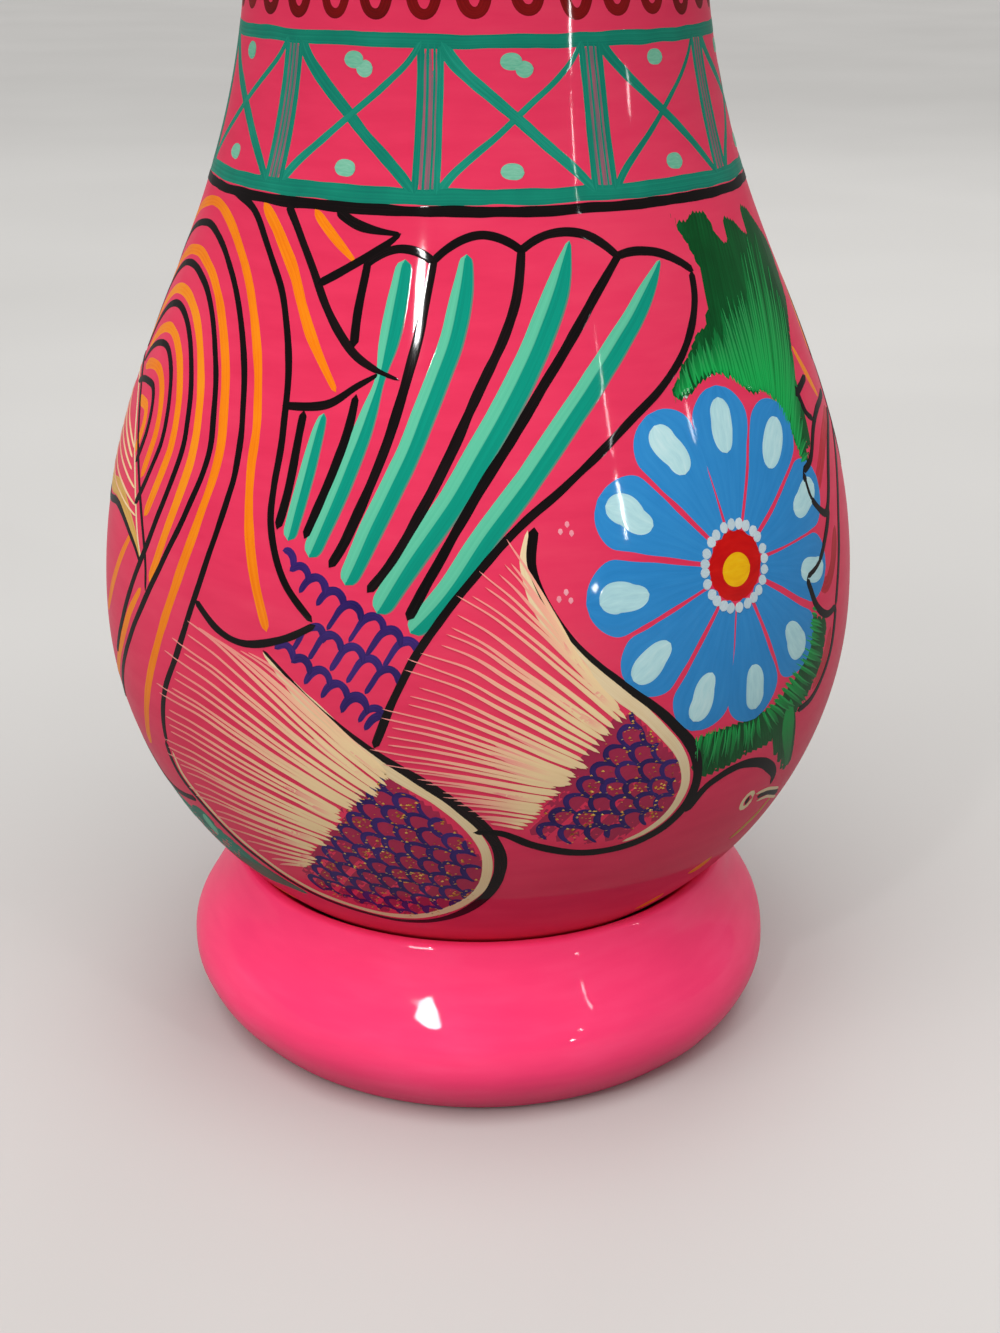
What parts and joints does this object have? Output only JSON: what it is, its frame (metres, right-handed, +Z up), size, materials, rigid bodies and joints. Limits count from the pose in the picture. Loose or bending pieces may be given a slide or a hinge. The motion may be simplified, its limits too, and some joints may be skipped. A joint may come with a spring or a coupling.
{
  "type": "clay vase on a ring stand",
  "caption": "Round-bottomed painted clay vase with a narrow neck and flared mouth, resting loose in a flared clay ring stand.",
  "frame": {"origin": "centre of the ring stand's foot, on the floor", "axes": "+Z up along the vase's axis; -Y is the side that the picture shows"},
  "size_m": [0.18, 0.18, 0.3052],
  "materials": {
    "vase_lacquer": "glossy pink lacquer over low-fired clay, hand painted",
    "ring_lacquer": "glossy pink lacquer over hand-formed low-fired clay"
  },
  "bodies": {
    "ring": {"ring_stand": "ring_lacquer"},
    "vase": {"lower_bowl": "vase_lacquer", "upper_belly": "vase_lacquer", "neck_collar": "vase_lacquer", "lip_coil": "vase_lacquer"}
  },
  "joints": [
    {"name": "vase_lift", "type": "slide", "parent": "ring", "child": "vase", "axis": [0, 0, 1], "range_m": [0, 0.06]}
  ]
}
